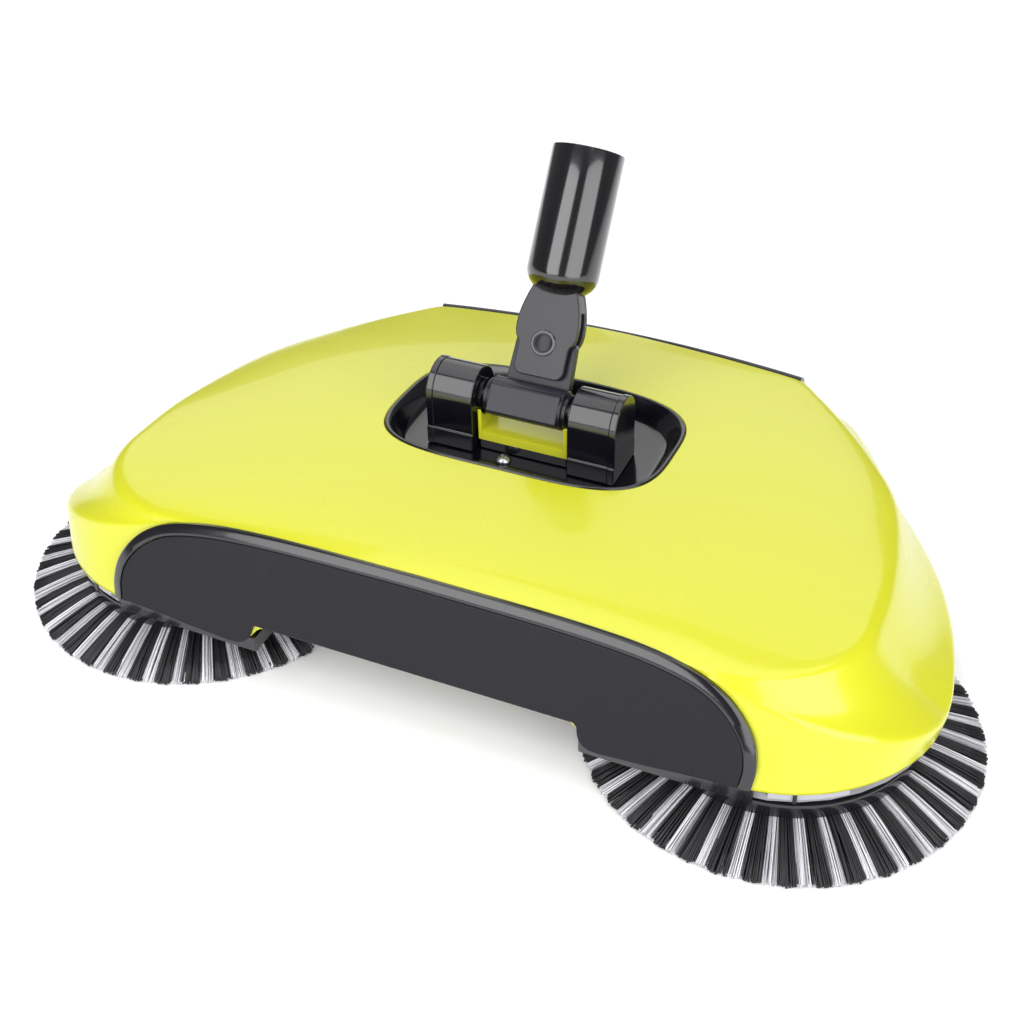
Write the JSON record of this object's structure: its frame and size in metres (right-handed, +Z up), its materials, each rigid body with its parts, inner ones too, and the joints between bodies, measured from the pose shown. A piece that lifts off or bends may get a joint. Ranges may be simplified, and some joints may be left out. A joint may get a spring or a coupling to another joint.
{
  "type": "carpet sweeper",
  "caption": "Hand-pushed floor sweeper head: domed lime cover, dark front panel, spinning round brushes at the front corners, roller brush, rear dust drawer and a folding handle socket.",
  "frame": {"origin": "middle of the footprint, at floor height", "axes": "+Z up, +X to the right across both side brushes, the front panel faces -Y and the dust drawer opens towards +Y"},
  "size_m": [0.4, 0.2502, 0.1678],
  "materials": {
    "lime": "glossy translucent-looking yellow-green moulding",
    "black_gloss": "polished black moulding",
    "dark_satin": "dark grey, fine grain",
    "frame_grey": "mid grey moulding",
    "steel": "drawn rod and plated screws",
    "acetal": "white gear plastic",
    "rubber": "soft black rubber",
    "bristle": "black and clear nylon filaments"
  },
  "bodies": {
    "frame_and_cover": {"top_cover": "lime", "front_bezel": "black_gloss", "front_panel": "dark_satin", "handle_well": "black_gloss", "well_screw": "steel", "bar_saddle": "lime", "bearing_ear_left": "black_gloss", "bearing_ear_right": "black_gloss", "tilt_pin": "steel", "base_frame": "frame_grey", "gearbox_side_left": "frame_grey", "gearbox_side_right": "frame_grey", "idler_pin": "steel", "cover_screw_left_1": "steel", "cover_screw_left_2": "steel", "cover_screw_right_1": "steel", "cover_screw_right_2": "steel", "gearbox_screw_left_1": "steel", "gearbox_screw_left_2": "steel", "gearbox_screw_right_1": "steel", "gearbox_screw_right_2": "steel", "drawer_runner_left": "frame_grey", "drawer_runner_right": "frame_grey", "rear_stub_left": "steel", "rear_stub_right": "steel"},
    "handle_yoke": {"cross_bar": "dark_satin", "swivel_pin": "steel"},
    "handle_socket": {"socket_fork": "black_gloss"},
    "wheels": {"wheel_axle": "steel", "wheel_left": "frame_grey", "wheel_right": "frame_grey", "tyre_left": "rubber", "tyre_right": "rubber", "axle_gear_left": "acetal", "axle_gear_right": "acetal"},
    "idler": {"idler_gear": "acetal"},
    "roller": {"roller_shaft": "steel", "roller_core": "black_gloss", "roller_bristles": "bristle", "roller_gear": "acetal"},
    "drawer": {"dust_drawer": "dark_satin"},
    "cross_shaft_left": {"cross_shaft_left": "steel", "cross_gear_left": "acetal", "brush_pinion_left": "acetal"},
    "side_brush_left": {"brush_disc_left": "black_gloss", "brush_bristles_left": "bristle", "brush_spindle_left": "steel", "brush_gear_left": "acetal"},
    "rear_roller_left": {"rear_wheel_left": "black_gloss"},
    "cross_shaft_right": {"cross_shaft_right": "steel", "cross_gear_right": "acetal", "brush_pinion_right": "acetal"},
    "side_brush_right": {"brush_disc_right": "black_gloss", "brush_bristles_right": "bristle", "brush_spindle_right": "steel", "brush_gear_right": "acetal"},
    "rear_roller_right": {"rear_wheel_right": "black_gloss"}
  },
  "joints": [
    {"name": "wheel_roll", "type": "hinge", "parent": "frame_and_cover", "child": "wheels", "pos_m": [0, -0.04985, 0.025], "axis": [1, 0, 0], "continuous": true},
    {"name": "cross_spin_left", "type": "hinge", "parent": "frame_and_cover", "child": "cross_shaft_left", "pos_m": [-0.09, -0.04985, 0.0475], "axis": [1, 0, 0], "continuous": true},
    {"name": "cross_spin_right", "type": "hinge", "parent": "frame_and_cover", "child": "cross_shaft_right", "pos_m": [0.09, -0.04985, 0.0475], "axis": [1, 0, 0], "continuous": true},
    {"name": "side_brush_spin_left", "type": "hinge", "parent": "frame_and_cover", "child": "side_brush_left", "pos_m": [-0.1247, -0.04985, 0.015], "axis": [0, 0, 1], "continuous": true},
    {"name": "side_brush_spin_right", "type": "hinge", "parent": "frame_and_cover", "child": "side_brush_right", "pos_m": [0.1247, -0.04985, 0.015], "axis": [0, 0, 1], "continuous": true},
    {"name": "idler_spin", "type": "hinge", "parent": "frame_and_cover", "child": "idler", "pos_m": [0.0482, -0.02098, 0.02032], "axis": [1, 0, 0], "continuous": true},
    {"name": "roller_spin", "type": "hinge", "parent": "frame_and_cover", "child": "roller", "pos_m": [0, 0.00197, 0.0166], "axis": [1, 0, 0], "continuous": true},
    {"name": "handle_tilt", "type": "hinge", "parent": "frame_and_cover", "child": "handle_yoke", "pos_m": [0, 0.00685, 0.0789], "axis": [1, 0, 0], "range_deg": [-38, 33.5]},
    {"name": "handle_swivel", "type": "hinge", "parent": "handle_yoke", "child": "handle_socket", "pos_m": [0, 0.02563, 0.09549], "axis": [0, -0.8339, 0.5519], "range_deg": [-40, 40]},
    {"name": "drawer_slide", "type": "slide", "parent": "frame_and_cover", "child": "drawer", "axis": [0, 1, 0], "range_m": [0, 0.09]},
    {"name": "rear_roller_spin_left", "type": "hinge", "parent": "frame_and_cover", "child": "rear_roller_left", "pos_m": [-0.0902, 0.08415, 0.0082], "axis": [1, 0, 0], "continuous": true},
    {"name": "rear_roller_spin_right", "type": "hinge", "parent": "frame_and_cover", "child": "rear_roller_right", "pos_m": [0.0902, 0.08415, 0.0082], "axis": [1, 0, 0], "continuous": true}
  ],
  "couplings": [
    {"joint": "cross_spin_left", "follows": "wheel_roll", "ratio": -2},
    {"joint": "cross_spin_right", "follows": "wheel_roll", "ratio": -2},
    {"joint": "side_brush_spin_left", "follows": "wheel_roll", "ratio": 1.25},
    {"joint": "side_brush_spin_right", "follows": "wheel_roll", "ratio": -1.25},
    {"joint": "idler_spin", "follows": "wheel_roll", "ratio": -1.0526},
    {"joint": "roller_spin", "follows": "wheel_roll", "ratio": 1.6667}
  ]
}
